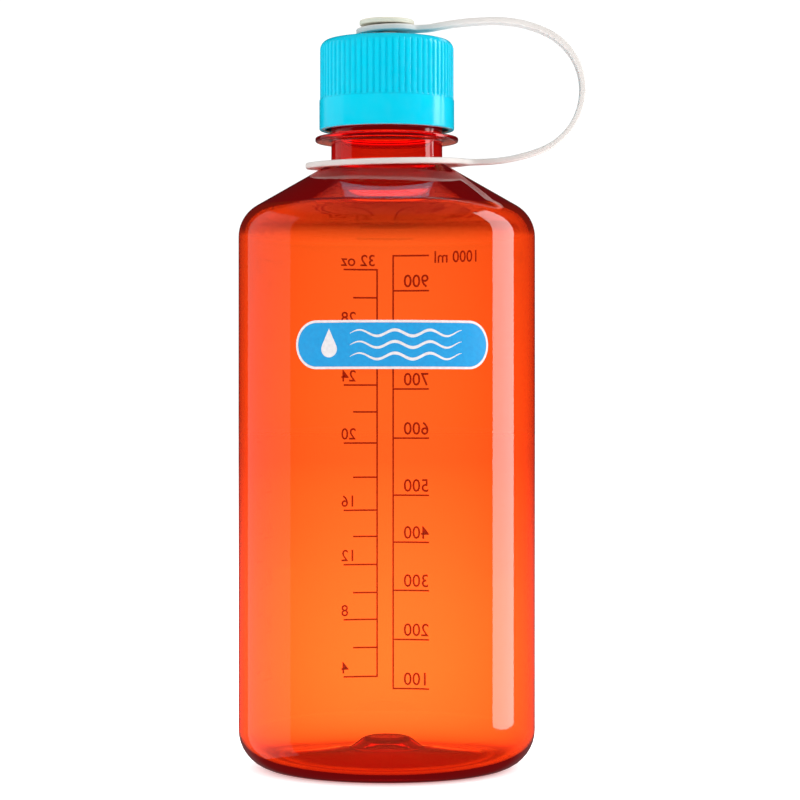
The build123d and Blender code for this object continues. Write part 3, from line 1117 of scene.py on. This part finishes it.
# The room's brightness by the sine of a ray's elevation: through the bottle, and mirrored in it.
THROUGH = [
    (-0.30, 1.2), (0.0, 1.2), (0.06, 1.0), (0.09, 0.52), (0.13, 0.2), (0.22, 0.15), (0.5, 0.12),
]
MIRRORED = [
    (-0.5, 0.02), (-0.3, 0.1), (-0.08, 0.1), (-0.057, 0.08), (-0.035, 0.04),
    (0.0, 0.01), (0.68, 0.01), (0.76, 0.1), (0.95, 0.1),
]


def make_world():
    """White behind the bottle, dimmer where the bottle mirrors the room, as in a dark studio."""
    world = bpy.data.worlds.new("studio")
    world.use_nodes = True
    tree = world.node_tree
    place = tree.nodes.new("ShaderNodeTexCoord")
    parts = tree.nodes.new("ShaderNodeSeparateXYZ")
    tree.links.new(place.outputs["Generated"], parts.inputs["Vector"])
    ray = tree.nodes.new("ShaderNodeLightPath")
    through = mapped(tree, parts.outputs["Z"], THROUGH)
    mirrored = mapped(tree, parts.outputs["Z"], MIRRORED)
    sheen = tree.nodes.new("ShaderNodeMath")
    sheen.operation = "SUBTRACT"
    sheen.use_clamp = True
    tree.links.new(ray.outputs["Is Glossy Ray"], sheen.inputs[0])
    tree.links.new(ray.outputs["Is Transmission Ray"], sheen.inputs[1])
    level = chosen(tree, ray.outputs["Is Transmission Ray"], FILL, through)
    level = chosen(tree, sheen.outputs["Value"], level, mirrored)
    level = chosen(tree, ray.outputs["Is Camera Ray"], level, SEEN_BACKDROP)
    tree.links.new(level, tree.nodes["Background"].inputs["Strength"])
    tree.nodes["Background"].inputs["Color"].default_value = (1, 1, 1, 1)
    bpy.context.scene.world = world


FLOOR_R = 8.0
# The floor's glow by the distance from the bottle's axis, low under and around the base as a
# painted contact shadow; and how much green and blue it keeps, little under the base as painted
# red light.
FLOOR_GLOW_AND_SHADOW = [
    (0.0, 0.3), (0.032, 0.22), (0.038, 0.6), (0.047, 0.95), (0.056, 1.0),
    (0.3, 1.15), (1.5, 0.9), (4.0, 0.55),
]
FLOOR_PAINTED_RED_LIGHT = [(0.0, 0.06), (0.032, 0.08), (0.037, 0.95)]


def make_floor():
    """A white floor that glows softly, with a painted shadow under and around the base, and
    painted red light in its glow and colour where light comes down through the base.
    """
    mesh = bmesh.new()
    bmesh.ops.create_circle(mesh, cap_ends=True, segments=96, radius=FLOOR_R)
    material, tree, shader = new_material("floor_white", Roughness=0.9)
    place = tree.nodes.new("ShaderNodeTexCoord")
    away = tree.nodes.new("ShaderNodeVectorMath")
    away.operation = "LENGTH"
    tree.links.new(place.outputs["Object"], away.inputs[0])
    # Glow dimmed near the base: a painted contact shadow.
    glow = mapped(tree, away.outputs["Value"], FLOOR_GLOW_AND_SHADOW)
    tree.links.new(glow, shader.inputs["Emission Strength"])
    # Green and blue taken out under the base: painted red light in the floor's glow and base
    # colour.
    painted_red_light = mapped(tree, away.outputs["Value"], FLOOR_PAINTED_RED_LIGHT)
    red_light_tint = tree.nodes.new("ShaderNodeCombineColor")
    red_light_tint.inputs[0].default_value = 1
    tree.links.new(painted_red_light, red_light_tint.inputs[1])
    tree.links.new(painted_red_light, red_light_tint.inputs[2])
    tree.links.new(red_light_tint.outputs["Color"], shader.inputs["Emission Color"])
    tree.links.new(red_light_tint.outputs["Color"], shader.inputs["Base Color"])
    floor = finished("floor", mesh, material)
    floor.visible_glossy = False


make_camera()
make_world()
make_floor()
make_lights()
make_bottle()
make_cap()
make_button()
make_strap()
make_scale()
make_badge()

bpy.context.scene.view_settings.view_transform = "Standard"
